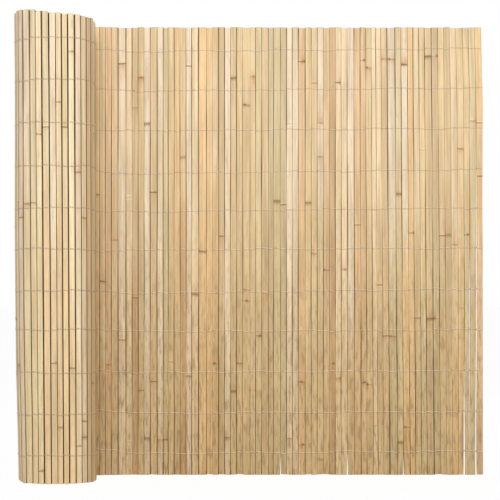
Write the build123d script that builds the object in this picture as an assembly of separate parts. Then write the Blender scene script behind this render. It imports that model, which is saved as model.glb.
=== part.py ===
from build123d import *
import math
import os
import random

# A bamboo slat screen, one metre high and four metres long. One end is opened out flat and the rest
# is still rolled up, so that it stands on its slat ends. X runs along the open panel, away from the
# roll, Y towards the back and Z up the slats. The skin of the bamboo faces the front of the panel,
# and so the inside of the roll. The origin is on the floor, at the middle of the footprint.

# The mat
MAT_LENGTH = 4000.0
SLAT_LENGTH = 1000.0
END_SCATTER = 2.4  # how far slat ends stand back from the line of the rest
STANDING = 7  # one slat in this many reaches the floor
SEED = 11

# A slat is a strip split out of a round culm, so its sides run towards the culm's middle
CULM_RADIUS = 38.0
SLAT_THICKNESS = 5.0
EDGE_BREAK = 0.4
COMMON_WIDTH = 13.4
WIDTH_SCATTER = 0.25
ODD_WIDTHS = {
    4: 15.6, 6: 11.2, 10: 12.3, 11: 15.6, 12: 17.9, 19: 16.5, 20: 12.3, 22: 15.6, 23: 11.2,
    24: 15.6, 28: 15.6, 36: 15.6, 37: 14.5, 38: 12.3, 40: 10.1, 41: 12.3, 43: 17.9, 45: 14.5,
    46: 12.3, 48: 12.3, 49: 15.6, 50: 14.5, 55: 12.3, 56: 15.0, 57: 17.0,
}  # slats of the flat panel, counted from the roll, seam to seam
LEAD_WIDTHS = [13.4, 17.9, 15.0, 13.4, 12.6, 13.0, 13.4, 12.4, 14.2, 13.2, 12.6]  # towards the roll
ROLLED_WIDTHS = (11.0, 17.0, 13.4)  # least, most and commonest

# The flat panel
FLAT_SLATS = 57
SLAT_GAP = 0.16
FOOT_GAPS = {54: 3.0, 55: 1.2, 56: 3.0}  # how far slats stand apart at their feet, by seam
LEAN = 0.42  # degrees that the slats near the free edge lean towards the roll
LEAN_STARTS, LEAN_FULL = 33, 42  # slats over which the lean sets in, by slats that widen downwards
EDGE_LEANS = {54: 0.28, 55: 0.17, 56: 0.17, 57: 0.3}  # of the last seams, by seam

# The roll and the run of slats that leads off it
ROLL_RADIUS = 83.8  # to the skin side of the outermost turn
TURN_PITCH = 6.3
ROLL_SQUARENESS = 0.6  # how far the outer turn is from a circle, whose exponent is 2
LEAD_LENGTH = 155.3
LEAD_RISE = 24.0  # the roll's back stands this far in front of the panel
ROLL_TOP_HIGH, ROLL_TOP_LOW = 1010.0, 991.0  # the rolled ends run down towards the panel
HINGE = 1.3  # depth over which neighbouring slats of a turn press together

# Bamboo joints: a ring on the skin side and the stump of the cross wall on the other
RING_PROUD, RING_CREST, RING_FOOT, RING_ROOT = 0.7, 1.2, 6.4, 1.4
STUMP_PROUD, STUMP_HEIGHT, STUMP_INSET = 0.8, 3.0, 0.9
JOINT_HEIGHTS = {
    1: (395, 820), 2: (188, 887), 3: (82, 785), 4: (208, 631), 5: (78,), 6: (78,), 7: (252,),
    9: (710,), 10: (220, 913), 11: (404,), 14: (248,), 15: (533,), 16: (83,), 17: (187, 887),
    18: (249,), 19: (404, 826), 20: (188, 890), 21: (310,), 22: (404,), 24: (612,), 25: (603,),
    26: (81, 784), 28: (67, 207, 923), 29: (608,), 30: (494, 875), 31: (35, 710, 786), 32: (457,),
    33: (248,), 34: (215, 876), 35: (458,), 37: (558,), 38: (206, 926), 39: (201, 909), 40: (110,),
    41: (424,), 42: (310, 929), 43: (309, 928), 44: (73, 628), 45: (106, 916), 46: (540,),
    47: (350,), 48: (725,), 49: (349, 935), 50: (349, 935), 51: (534,), 52: (536,), 53: (514,),
    54: (372, 728), 55: (536,), 56: (790,), 57: (667, 786),
}  # by slat of the flat panel
LEAD_JOINTS = {0: (72, 620), 1: (301, 918), 2: (524,), 3: (246,), 4: (432,), 5: (625,)}
ROLL_JOINT_SLATS = 40  # slats of the outermost turn that carry a stump
JOINT_SPACING = (380.0, 560.0)

# Binding wire, two strands a row, one in front of the slats and one behind
WIRE_DIAMETER = 0.9
WIRE_FACES = 6
WIRE_ROWS = 11
FIRST_ROW, ROW_PITCH = 54.0, 90.0

SPLAY = math.asin(COMMON_WIDTH / 2 / CULM_RADIUS)  # of a slat's side from square
CORNER_DEPTH = CULM_RADIUS * (1 - math.cos(SPLAY))  # a common slat's corners lie this far back
WALL = SLAT_THICKNESS - CORNER_DEPTH  # from the corners to the pith side
CURL_INSET = WALL * math.tan(SPLAY)


def smooth(t):
    """0 to 1 with no slope at either end."""
    t = min(max(t, 0.0), 1.0)
    return t * t * (3 - 2 * t)


def seam_lines(rng):
    """(x at half height, slope towards the roll) of each seam of the flat panel, the roll's first."""
    seams, x = [], 0.0
    for number in range(FLAT_SLATS + 1):
        if number:
            x += ODD_WIDTHS.get(number, COMMON_WIDTH + rng.uniform(-WIDTH_SCATTER, WIDTH_SCATTER))
        share = smooth((number - LEAN_STARTS) / (LEAN_FULL - LEAN_STARTS))
        lean = EDGE_LEANS.get(number, LEAN * share)
        seams.append((x, math.tan(math.radians(lean))))
    return seams


def slat_sides(seams, number):
    """(x at half height, slope) of the two sides of a flat slat, which neighbours' seams give it."""
    sides = []
    for seam, hand in ((number - 1, 1), (number, -1)):
        x, slope = seams[seam]
        gap = FOOT_GAPS.get(seam, 0.0)
        x += hand * (SLAT_GAP / 2 + gap / 4)
        sides.append((x, slope + hand * gap / 2 / SLAT_LENGTH))
    return sides


def side_at(side, height):
    """Where a slat's side is at a height."""
    x, slope = side
    return x + slope * (SLAT_LENGTH / 2 - height)


def slat_section(width):
    """Section of one slat: skin crown at y = 0, pith side at y = SLAT_THICKNESS."""
    half = width / 2
    corner = CULM_RADIUS - math.sqrt(CULM_RADIUS**2 - half**2)
    pith = half * (CULM_RADIUS - SLAT_THICKNESS) / (CULM_RADIUS - corner)
    skin = ThreePointArc((-half, corner), (0, 0), (half, corner))
    rest = Polyline(
        (half, corner),
        (pith, SLAT_THICKNESS - EDGE_BREAK),
        (pith - EDGE_BREAK, SLAT_THICKNESS),
        (EDGE_BREAK - pith, SLAT_THICKNESS),
        (-pith, SLAT_THICKNESS - EDGE_BREAK),
        (-half, corner),
    )
    return make_face(skin + rest)


def joint_ring(width, height):
    """The raised ring of a bamboo joint, a short sector turned about the culm's middle."""
    profile = make_face(
        Polyline(
            (0, RING_ROOT, -RING_FOOT / 2),
            (0, 0, -RING_FOOT / 2),
            (0, -RING_PROUD, -RING_CREST / 2),
            (0, -RING_PROUD, RING_CREST / 2),
            (0, 0, RING_FOOT / 2),
            (0, RING_ROOT, RING_FOOT / 2),
            close=True,
        )
    )
    sector = 2 * math.degrees(math.asin(width / 2 / (CULM_RADIUS + RING_PROUD)))
    culm = Axis((0, CULM_RADIUS, 0), (0, 0, 1))
    ring = revolve(profile, culm, sector).rotate(culm, -sector / 2)
    return Pos(0, 0, height) * ring


def joint_stump(width, height):
    """The low bar that is left of a joint's cross wall on the pith side."""
    half = STUMP_HEIGHT / 2
    bar = make_face(
        Polyline(
            (0, SLAT_THICKNESS - 1, -half),
            (0, SLAT_THICKNESS, -half),
            (0, SLAT_THICKNESS + STUMP_PROUD, -half / 2),
            (0, SLAT_THICKNESS + STUMP_PROUD, half / 2),
            (0, SLAT_THICKNESS, half),
            (0, SLAT_THICKNESS - 1, half),
            close=True,
        )
    )
    reach = width / 2 - 2 * STUMP_INSET
    return Pos(-reach, 0, height) * extrude(bar, 2 * reach, dir=(1, 0, 0))


def flat_slat(seams, number, foot, top):
    """One slat of the flat panel with its joints, leaning with its seams."""
    left, right = slat_sides(seams, number)
    half = max(side_at(right, height) - side_at(left, height) for height in (0, SLAT_LENGTH)) / 2
    slat = Pos(0, 0, foot) * extrude(slat_section(2 * half), top - foot)
    for height in JOINT_HEIGHTS.get(number, ()):
        slat += joint_ring(2 * half, height)
        slat += joint_stump(2 * half, height)
    lean = math.degrees(math.atan((left[1] + right[1]) / 2))
    centre = Pos((left[0] + right[0]) / 2, 0, SLAT_LENGTH / 2)
    slat = centre * Rot(0, -lean, 0) * Pos(0, 0, -SLAT_LENGTH / 2) * slat
    slat = Pos(0, 0, half * math.sin(math.radians(lean))) * slat
    if left[1] != right[1]:
        slat = tapered(slat, left, right, half)
    return slat


def tapered(slat, left, right, half):
    """The slat split down both its sides, on planes that meet the culm's middle."""
    for (x, slope), hand in ((left, -1), (right, 1)):
        along = Vector(-slope, 0, 1)
        inward = along.cross(Vector(-hand * half, CULM_RADIUS, 0)) * hand
        seam = Plane(origin=(x, CORNER_DEPTH, SLAT_LENGTH / 2), z_dir=inward)
        slat = split(slat, bisect_by=seam, keep=Keep.TOP)
    return slat


def mat_line(u):
    """Point of the mat's skin line, seen from above, u millimetres from the middle of the roll's back.

    Before that point it is the run that leads off to the panel, a smooth step in y. After it, it is
    the roll, a spiral whose turns pass from squarish outside to round inside."""
    if u < 0:
        return -u, LEAD_RISE * (smooth(-u / LEAD_LENGTH) - 1)
    angle = math.pi / 2 + u / ROLL_RADIUS
    size = ROLL_RADIUS - TURN_PITCH * u / ROLL_RADIUS / math.tau
    power = 2 + ROLL_SQUARENESS * (size / ROLL_RADIUS) ** 2
    reach = size * (abs(math.cos(angle)) ** power + abs(math.sin(angle)) ** power) ** (-1 / power)
    return reach * math.cos(angle), reach * math.sin(angle) - ROLL_RADIUS - LEAD_RISE


def step_along(u, chord):
    """The next place on the skin line that is one chord further on."""
    start = mat_line(u)
    near, far = u, u + 2 * chord
    for _ in range(40):
        middle = (near + far) / 2
        if math.dist(start, mat_line(middle)) < chord:
            near = middle
        else:
            far = middle
    return far


def wall_slats(corners):
    """(skin corner, next skin corner, pith corner, next pith corner) of each slat of a bent run."""
    slats = []
    for start, end in zip(corners, corners[1:]):
        a, b = Vector(*start), Vector(*end)
        along = (b - a).normalized()
        out = Vector(along.Y, -along.X)
        slats.append((a, b, a + out * WALL + along * CURL_INSET, b + out * WALL - along * CURL_INSET))
    return slats


def wall_outline(slats, crowned):
    """Edges round a bent run of slats that press together at their skin corners."""
    edges = []
    for a, b, _, _ in slats:
        along = (b - a).normalized()
        crown = (a + b) / 2 - Vector(along.Y, -along.X) * CORNER_DEPTH
        edges.append(Edge.make_three_point_arc(a, crown, b) if crowned else Edge.make_line(a, b))
    pith = [slats[-1][1]]
    for k in range(len(slats) - 1, -1, -1):
        a, b, pith_a, pith_b = slats[k]
        pith += [pith_b, pith_a]
        if k:
            split = ((pith_a - a) + (slats[k - 1][3] - a)).normalized()
            pith.append(a + split * HINGE)
    pith.append(slats[0][0])
    edges += [Edge.make_line(p, q) for p, q in zip(pith, pith[1:])]
    return Face(Wire(edges))


def pith_stump(slat, height):
    """The stump of a joint's cross wall on one slat of a bent run, as a bar on its pith side."""
    _, _, a, b = slat
    along = (b - a).normalized()
    out = Vector(along.Y, -along.X)
    inset = along * STUMP_INSET
    foot, crest = -out * 0.6, out * STUMP_PROUD
    bar = Wire.make_polygon(
        [a + inset + foot, b - inset + foot, b - inset * 1.6 + crest, a + inset * 1.6 + crest]
    )
    return extrude(Pos(0, 0, height - STUMP_HEIGHT / 2) * Face(bar), STUMP_HEIGHT, dir=(0, 0, 1))


def lead_off():
    """The slats that lead off the roll to the panel, pressed together as one piece."""
    u, places = -LEAD_LENGTH, [-LEAD_LENGTH]
    for width in LEAD_WIDTHS:
        u = step_along(u, width)
        places.append(u)
    places.append(0.0)
    slats = wall_slats([mat_line(u) for u in places])
    run = extrude(wall_outline(slats, crowned=True), SLAT_LENGTH, dir=(0, 0, 1))
    for number, heights in LEAD_JOINTS.items():
        for height in heights:
            run += pith_stump(slats[number], height)
    return run


def roll(rng, left):
    """The rolled turns, from the middle of the roll's back to the core, pressed together as one."""
    u, places = 0.0, [0.0]
    while left > 0:
        width = rng.triangular(*ROLLED_WIDTHS)
        u = step_along(u, width)
        places.append(u)
        left -= width
    slats = wall_slats([mat_line(u) for u in places])
    turns = extrude(wall_outline(slats, crowned=False), ROLL_TOP_HIGH, dir=(0, 0, 1))
    stumps = []
    for slat in slats[:ROLL_JOINT_SLATS]:
        height = rng.uniform(*JOINT_SPACING) * rng.random()
        while height < SLAT_LENGTH - STUMP_HEIGHT * 4:
            if height > STUMP_HEIGHT * 4:
                stumps.append(pith_stump(slat, height))
            height += rng.uniform(*JOINT_SPACING)
    turns = turns.fuse(*stumps)
    return trimmed_top(turns)


def trimmed_top(turns):
    """The roll with its upper end cut on a slope, high at its far side and low at the panel."""
    box = turns.bounding_box()
    low, high = box.min.X, box.max.X
    margin = 5.0
    wedge = make_face(
        Polyline(
            (low - margin, ROLL_TOP_HIGH),
            (high + margin, ROLL_TOP_LOW),
            (high + margin, ROLL_TOP_HIGH + margin),
            (low - margin, ROLL_TOP_HIGH + margin),
            close=True,
        )
    )
    cutter = Pos(0, box.max.Y + margin, 0) * Rot(90, 0, 0) * wedge
    return turns - extrude(cutter, box.size.Y + 2 * margin, dir=(0, -1, 0))


def wire_row(length, height):
    """One row of binding wire: a strand in front and one behind, meeting round the free edge."""
    half = WIRE_DIAMETER / 2
    front, back = (0, -half, height), (0, SLAT_THICKNESS + half, height)
    turn = length + half
    path = Polyline(front, (turn, -half, height), (turn, SLAT_THICKNESS + half, height), back)
    strand = RegularPolygon(half, WIRE_FACES, major_radius=False, rotation=180 / WIRE_FACES)
    start = Plane(origin=front, x_dir=(0, 1, 0), z_dir=(1, 0, 0))
    return sweep(start * strand, path, transition=Transition.RIGHT)


def screen():
    """Every sub-part by name, in the row's frame."""
    rng = random.Random(SEED)
    seams = seam_lines(rng)
    parts = {}
    for number in range(1, FLAT_SLATS + 1):
        foot = rng.uniform(0, END_SCATTER) if number % STANDING else 0.0
        top = SLAT_LENGTH - rng.uniform(0, END_SCATTER)
        parts[f"slat_{number:02d}"] = flat_slat(seams, number, foot, top)
    rows = []
    for row in range(WIRE_ROWS):
        height = FIRST_ROW + row * ROW_PITCH
        rows.append(wire_row(side_at(slat_sides(seams, FLAT_SLATS)[1], height), height))
    parts["binding_wires"] = Compound(children=rows)
    beside = Pos(-SLAT_GAP / 2 - LEAD_LENGTH, CORNER_DEPTH, 0)
    parts["lead_off_slats"] = beside * lead_off()
    parts["roll"] = beside * roll(rng, MAT_LENGTH - seams[-1][0] - LEAD_LENGTH)
    return centred(parts)


def centred(parts):
    """The parts moved so that the origin is at the middle of the footprint."""
    boxes = [part.bounding_box() for part in parts.values()]
    x = (min(b.min.X for b in boxes) + max(b.max.X for b in boxes)) / 2
    y = (min(b.min.Y for b in boxes) + max(b.max.Y for b in boxes)) / 2
    return {name: Pos(-x, -y, 0) * part for name, part in parts.items()}


os.makedirs("parts", exist_ok=True)
for name, part in screen().items():
    export_step(part, f"parts/{name}.step")
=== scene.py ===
import math

import bpy
import numpy as np
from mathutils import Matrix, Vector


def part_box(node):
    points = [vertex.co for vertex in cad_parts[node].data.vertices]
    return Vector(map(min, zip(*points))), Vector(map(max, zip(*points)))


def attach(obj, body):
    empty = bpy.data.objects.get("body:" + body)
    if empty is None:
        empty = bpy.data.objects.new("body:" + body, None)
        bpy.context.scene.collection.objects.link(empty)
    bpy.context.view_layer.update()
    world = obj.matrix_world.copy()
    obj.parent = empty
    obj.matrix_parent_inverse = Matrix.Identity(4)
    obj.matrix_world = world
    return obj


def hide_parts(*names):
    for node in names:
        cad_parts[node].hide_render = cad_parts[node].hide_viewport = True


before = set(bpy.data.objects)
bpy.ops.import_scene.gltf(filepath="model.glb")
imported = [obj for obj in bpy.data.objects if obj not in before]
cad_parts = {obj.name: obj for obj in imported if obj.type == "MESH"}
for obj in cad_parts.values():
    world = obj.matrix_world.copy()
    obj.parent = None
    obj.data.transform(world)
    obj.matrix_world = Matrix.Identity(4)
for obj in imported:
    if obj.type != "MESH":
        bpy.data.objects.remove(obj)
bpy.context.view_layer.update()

bl_info = {
    "name": "Bamboo slat screen",
    "version": (1, 0, 0),
    "blender": (4, 5, 0),
    "location": "3D View > Sidebar > Screen",
    "description": "Dresses a partly rolled screen of split bamboo slats and binding wire",
    "category": "Add Mesh",
}

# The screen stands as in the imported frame: X along the open panel away from the roll, Y to the
# back, Z up. Shapes are worked out in millimetres and put into the meshes in metres.
MM = 0.001
TAU = 2 * math.pi

# The mat
MAT_LENGTH = 4000.0
SLAT_LENGTH = 1000.0
FLAT_SLATS = 57
SLAT_GAP = 0.16
CULM_RADIUS = 38.0
THICKNESS = 5.0
COMMON_WIDTH = 13.4
CORNER_DEPTH = CULM_RADIUS - math.sqrt(CULM_RADIUS**2 - (COMMON_WIDTH / 2) ** 2)
CURL_INSET = (THICKNESS - CORNER_DEPTH) * math.tan(math.asin(COMMON_WIDTH / 2 / CULM_RADIUS))

# The line that the mat follows off the panel and round the roll, as in the part
ROLL_RADIUS = 83.8
TURN_PITCH = 6.3
ROLL_SQUARENESS = 0.6
LEAD_LENGTH = 155.3
LEAD_RISE = 24.0
LEAD_WIDTHS = (13.4, 17.9, 15.0, 13.4, 12.6, 13.0, 13.4, 12.4, 14.2, 13.2, 12.6)

# The roll flares and drifts a little towards its top, and its left side bellies out
ROLL_FLARE = 0.022
ROLL_DRIFT = -2.9
ROLL_BELLY = 3.4

# Heights of the roll's sloped top and how far its feet stand off the floor, by x
ROLL_TOPS = (
    (-517, 1005), (-500, 1009.5), (-484, 1010), (-470, 1008.5), (-448, 1004), (-425, 1002),
    (-400, 1000.5), (-372, 1000), (-353, 997), (-344, 990),
)
FOOT_LIFTS = ((-517, 6.0), (-505, 3.5), (-496, 0.0))

# Heights of the wire rows: an even pitch, and how far each row strays from it
FIRST_ROW, ROW_PITCH = 54.0, 90.0
STRAY_ON_ROLL = (7, 4, 3, 5, -2, -3, -6, -6, -5, -3, -5)
STRAY_AT_LEFT = (-6, -6, -5, -3, -8, -1, -5, -10, -4, -5, -7)
STRAY_AT_RIGHT = (0, -2, 0, 1, 3, 4, 4, 0, 2, 2, 0)

# The view of the photograph, from the panel's first seam
VIEW_DISTANCE = 3800.0
VIEW_HEIGHT = 405.6
VIEW_FROM_SEAM = 263.55
VIEW_FOCAL = 1700.5
VIEW_SIZE = 500.0
HORIZON = 293.4

# Seams of the roll's front by their columns in that view, and how far each gapes by height
FRONT_SEAMS = (22.3, 29.3, 35.3, 41.5, 48.7, 55.4, 61.4, 67.7, 74.6, 81.0, 86.6, 91.0)
SEAMS_SEEN_AT = 920.0
FRONT_GAPES = (
    ((0, 0.3), (800, 0.3), (850, 2.0), (960, 2.0), (980, 0.2)),
    ((0, 1.0), (900, 1.0), (950, 1.6), (1000, 2.6)),
    ((0, 0.2), (650, 0.3), (1000, 0.4)),
    ((0, 1.3), (500, 1.6), (1000, 1.6)),
    ((0, 1.2), (840, 1.3), (900, 1.9), (1000, 1.9)),
    ((0, 0.3), (790, 0.4), (870, 1.1), (960, 0.4)),
    ((0, 1.3), (600, 1.5), (1000, 1.7)),
    ((0, 1.1), (840, 1.0), (900, 1.6), (1000, 1.3)),
    ((0, 1.1), (640, 1.5), (760, 2.2), (1000, 2.2)),
    ((0, 0.4), (800, 0.5), (1000, 1.0)),
    ((0, 1.2), (700, 1.2), (1000, 1.4)),
    ((0, 0.8), (1000, 1.0)),
)
FRONT_INSET = 0.3  # of the pith side's edges, as a share of a common slat's
FRONT_LIGHT = 1.1  # times each slat's own
ROLL_GROOVE, LEFT_GROOVE = 0.6, 0.02
LEFT_GAPE = ((0, -0.7), (1, -0.7))
HIDDEN_GAPE = ((0, 0.4), (1, 0.4))
FINE_SLATS = 44  # of the roll's outer turn, which are shown finely

# Joints of the bamboo, heights by slat. Slats of the lead-off and of the roll's front are counted
# apart from the panel's.
PANEL_JOINTS = {
    1: (395, 820), 2: (188, 887), 3: (82, 785), 4: (208, 631), 5: (78,), 6: (78,), 7: (252,),
    9: (710,), 10: (220, 913), 11: (404,), 12: (500,), 14: (248,), 15: (533,), 16: (83,), 17: (187, 887),
    18: (249,), 19: (412, 388, 826), 20: (188, 890), 21: (310,), 22: (404,), 24: (612,), 25: (603,),
    26: (81, 784), 28: (67, 207, 923), 29: (608,), 30: (494, 875), 31: (35, 710, 786), 32: (457,),
    33: (248,), 34: (215, 876), 35: (458,), 37: (558,), 38: (206, 926), 39: (201, 909), 40: (110,),
    41: (424,), 42: (310, 929), 43: (309, 928), 44: (73, 628), 45: (106, 916), 46: (540,),
    47: (350,), 48: (725,), 49: (349, 935), 50: (349, 935), 51: (534,), 52: (536,), 53: (514,),
    54: (372, 728), 55: (536,), 56: (790,), 57: (667, 786),
}
LEAD_JOINTS = {0: (72, 620), 1: (301, 918), 2: (524,), 3: (246,), 4: (432,), 5: (625,)}
FRONT_JOINTS = {
    0: (567,), 1: (596,), 2: (598,), 3: (28, 743), 4: (758,), 5: (257,), 6: (121, 811), 7: (758,),
    8: (246, 919), 9: (80, 663), 10: (98, 132, 566), 12: (213,),
}

# Slats whose joints are marked: stained or pale ones by height, those with knots and with broad
# shadows. Then a slit, as (foot, top, place across), pale patches, and the top of a grimy edge.
STAINED_JOINTS = {
    2: 887, 14: 248, 17: 887, 20: 890, 22: 404, 28: 923, 31: 786, 45: 916, 71: 918, 73: 246,
}
PALE_JOINTS = {26: 784, 56: 790, 70: 620}
KNOTTED = (14, 19, 21, 28, 32, 33, 38, 39, 43, 45, 46, 50, 55)
BROAD = (3, 11, 12, 17, 24, 29, 36, 44, 49)
KNOTTED_FRONT = (3, 5, 8, 9, 10)
FRONT_SLITS = {8: (966, 991, 1.5)}
PALE_PATCHES = {45: (520, 820), 14: (600, 960), 3: (300, 900)}
GRIMY_EDGES = {54: 215}

# How far apart the two slats of a seam stand, by seam: (height, width) points. The last is the
# free edge, where a side stands back by half the width.
CLOSED = -0.1
SEAM_GAPES = {
    24: ((0, 2.2), (20, CLOSED)),
    35: ((0, 2.8), (33, CLOSED)),
    44: ((0, 2.2), (13, CLOSED)),
    54: ((0, 3.0), (100, 2.2), (210, 0.9), (290, CLOSED)),
    55: ((0, CLOSED), (30, 0.0), (60, 0.8), (290, 0.9), (330, 1.5), (430, 1.6), (470, CLOSED)),
    56: ((0, 2.9), (80, 2.0), (500, 1.6), (640, 1.0), (780, 0.2), (800, CLOSED)),
    57: ((0, 4.2), (250, 5.8), (620, 5.8), (780, 3.4), (1000, 2.6)),
}

# How deep the groove along a seam is and how dark its dirt and painted shade are, where it isn't the
# common one
SEAM_GROOVES = {
    3: 0.9, 4: 1.35, 5: 1.2, 7: 0.75, 9: 0.85, 10: 0.7, 11: 0.95, 13: 0.1, 14: 0.95, 17: 1.0,
    19: 0.45, 23: 0.7, 25: 1.0, 26: 0.8, 27: 0.9, 28: 0.75, 30: 0.9, 33: 1.0, 36: 0.95, 37: 0.8,
    38: 0.9, 39: 0.9, 42: 1.0, 43: 0.95, 44: 0.9, 46: 1.0, 48: 0.9, 49: 0.9, 52: 0.3, 53: 0.35,
    54: 0.7, 57: 0.3,
}
GROOVE_RANGE = (0.5, 0.85)
NEAR_ROLL = 18  # seams before this one are deeper and darker

# The free edge is bowed: its seams stand further out in their middles than at their ends
BOW_STARTS, BOW_FULL, BOW = 50, 54, 2.6

# Which slats of the flat panel are of which tone, counted from the roll, those whose foot has
# another tone, and the tones of the lead-off and of the roll's front from left to right
PANEL_TONES = {
    "cream": (11, 34, 35, 40, 41, 47, 53),
    "straw": (2, 7, 9, 17, 18, 19, 20, 29, 30, 39, 48, 49, 51, 54, 55),
    "honey": (8, 12, 13, 14, 46, 57),
    "peach": (28, 37, 38),
    "khaki": (1, 4, 15, 22, 32, 42, 50, 52),
    "green": (6, 21, 23, 24, 25, 44, 56),
    "bleached": (3, 5, 10, 16, 26, 27, 31, 36, 43, 45),
    "brown": (33,),
}
TONE_OF = {number: name for name, slats in PANEL_TONES.items() for number in slats}
FOOT_TONES = {
    1: "brown", 8: "khaki", 9: "brown", 20: "khaki", 22: "khaki", 23: "khaki", 28: "honey",
    31: "straw", 32: "khaki", 36: "khaki", 41: "khaki", 43: "green", 45: "honey", 46: "honey",
    47: "straw", 48: "green", 49: "khaki", 50: "green", 51: "khaki", 53: "honey", 54: "honey",
    55: "green", 57: "peach",
}
LEAD_TONES = ("cream", "bleached", "straw", "peach", "straw", "honey", "khaki", "cream")
FRONT_TONES = (
    "beige", "beige", "olive", "cream", "olive", "bleached", "straw",
    "khaki", "cream", "beige", "khaki", "brown", "brown",
)
FRONT_LIGHTS = (0.95, 1.0, 0.98, 1.0, 0.98, 0.93, 0.95, 0.97, 1.04, 0.97, 0.93, 0.88, 0.85)
FRONT_FEET = {
    1: "green", 2: "khaki", 3: "green", 4: "peach", 5: "khaki", 6: "peach", 7: "honey", 8: "peach",
    9: "bleached", 10: "beige",
}

# Stations across a slat's two faces, from the side away from the roll
SKIN_ACROSS = np.array(
    (-1, -0.98, -0.95, -0.915, -0.87, -0.8, -0.4, 0, 0.4, 0.8, 0.87, 0.915, 0.95, 0.98, 1)
)
PITH_ACROSS = np.array((1, 0.98, 0.94, 0.84, 0.45, 0, -0.45, -0.84, -0.94, -0.98, -1))
COARSE_SKIN = np.array((-1, 0, 1))
COARSE_PITH = np.array((1, 0.85, 0, -0.85, -1))

# Stations along a slat about a joint, and at an end
JOINT_STEPS = np.array(
    (-14, -9, -6, -4, -2.9, -2.1, -1.4, -0.8, -0.2, 0.4, 1, 1.7, 2.4, 3.3, 4.6, 7, 11, 17, 26, 40)
)
END_STEPS = np.array((0, 0.15, 0.4, 0.7, 1))
WIRE_STEPS = np.array((-3.3, -1.9, -1.0, -0.1, 1.0))

# Bells that raise the skin about a joint: (place along the slat, width, height)
JOINT_BELLS = ((0, 8, 0.25), (-1.4, 0.85, 0.45), (2.4, 1.5, 0.3375), (0.4, 0.7, -0.2))
STUMP_HEIGHT, STUMP_WIDTH = 0.75, 1.9  # of a joint's bar on the pith side
END_BEVEL = 0.3
SAWN = 0.05  # share of an end's rounding that counts as its sawn face
CAP_SHIFT = 3000.0  # keeps the sawn ends' part of the fibre map apart from the faces
GROOVE_DRIFT = 0.75

# The binding wire: how far it is pressed on, its rise across a slat, and how squarely it turns
WIRE_REACH, WIRE_RISE, WIRE_TURN = 0.8, 0.8, 12
WIRE_ACROSS = np.array((-1, -0.96, -0.86, -0.6, -0.2, 0.2, 0.6, 0.86, 0.96))
WIRE_FACES = 5
ROLL_ENDS = (-0.36, -0.33)  # x in metres between which the wire's roll colour fades out
WHITE = (1.0, 1.0, 1.0)


def paint(red, green, blue):
    """A colour given as screen values up to 255, as the linear values that shaders work in."""
    parts = np.array((red, green, blue)) / 255
    return tuple(np.where(parts > 0.04045, ((parts + 0.055) / 1.055) ** 2.4, parts / 12.92))


def smooth(t):
    """0 to 1 with no slope at either end: t squared times three less twice t."""
    t = np.clip(t, 0.0, 1.0)
    return t * t * (3 - 2 * t)


def hump(t, width):
    """A bell of height one: e to the minus the square of t over its width."""
    return np.exp(-((t / width) ** 2))


def lines_through(points, z):
    """The value at z of straight lines through (place, value) points."""
    return np.interp(z, *zip(*points))


def drift(seed, z, size):
    """A slow wander along the slats: the sum of three sine waves of unlike lengths."""
    rng = np.random.default_rng(seed)
    lengths = rng.uniform((620, 260, 110), (900, 380, 170))
    phases = rng.uniform(0, TAU, 3)
    waves = np.sin(TAU * np.asarray(z, float)[..., None] / lengths + phases)
    return size * (waves * (0.55, 0.3, 0.15)).sum(-1)


def edge_drop(across, power):
    """0 over a face and 1 at its edges: one less a superellipse's height at that place across."""
    return 1 - (1 - np.abs(across) ** power) ** (1 / power)


def blend(first, second, share):
    """From the first colour to the second as the share goes from 0 to 1."""
    first = np.array(first)
    return first + (np.array(second) - first) * share


def node_points(name):
    """The corner points of a CAD node, in millimetres."""
    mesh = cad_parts[name].data
    flat = np.empty(len(mesh.vertices) * 3)
    mesh.vertices.foreach_get("co", flat)
    return flat.reshape(-1, 3) / MM


PANEL_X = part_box("slat_01")[0][0] / MM - SLAT_GAP / 2
CROWN_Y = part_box("slat_08")[0][1] / MM
CORNER_Y = CROWN_Y + CORNER_DEPTH
LEAD_X = PANEL_X - SLAT_GAP / 2 - LEAD_LENGTH
VIEW_ACROSS = PANEL_X + VIEW_FROM_SEAM


def mat_line(u):
    """The mat's skin corners seen from above, u millimetres on from the middle of the roll's back.

    Before that point it is a smooth step in y from the panel. After it, it is a spiral: the size
    falls by one pitch a turn, and the reach at each angle is that of a superellipse, whose
    exponent passes from a squarish outer turn to a round core."""
    u = np.asarray(u, float)
    angle = math.pi / 2 + np.maximum(u, 0) / ROLL_RADIUS
    size = ROLL_RADIUS - TURN_PITCH * np.maximum(u, 0) / ROLL_RADIUS / TAU
    power = 2 + ROLL_SQUARENESS * (size / ROLL_RADIUS) ** 2
    reach = size * (np.abs(np.cos(angle)) ** power + np.abs(np.sin(angle)) ** power) ** (-1 / power)
    x = np.where(u < 0, -u, reach * np.cos(angle))
    step = LEAD_RISE * (smooth(-u / LEAD_LENGTH) - 1)
    y = np.where(u < 0, step, reach * np.sin(angle) - ROLL_RADIUS - LEAD_RISE)
    return x + LEAD_X, y + CORNER_Y


def mat_lengths(table):
    """Length of the mat from a table's first place on the mat line to each of its places."""
    x, y = mat_line(table)
    return np.concatenate([[0], np.cumsum(np.hypot(np.diff(x), np.diff(y)))])


def rolled_point(u, z):
    """The mat line as the roll stands: scaled about its middle and moved sideways with height, and
    at mid-height its left side bellies out."""
    x, y = mat_line(u)
    hold = smooth(u / 110) * (z - SLAT_LENGTH / 2) / (SLAT_LENGTH / 2)
    middle = CORNER_Y - ROLL_RADIUS - LEAD_RISE
    belly = ROLL_BELLY * smooth(z / 300) * smooth((900 - z) / 420)
    belly = belly * smooth((LEAD_X - 20 - x) / 60) * smooth(u / 110)
    x = x + hold * (ROLL_FLARE * (x - LEAD_X) + ROLL_DRIFT) - belly
    y = y + hold * ROLL_FLARE * (y - middle)
    return np.stack([x, y], -1)


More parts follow.
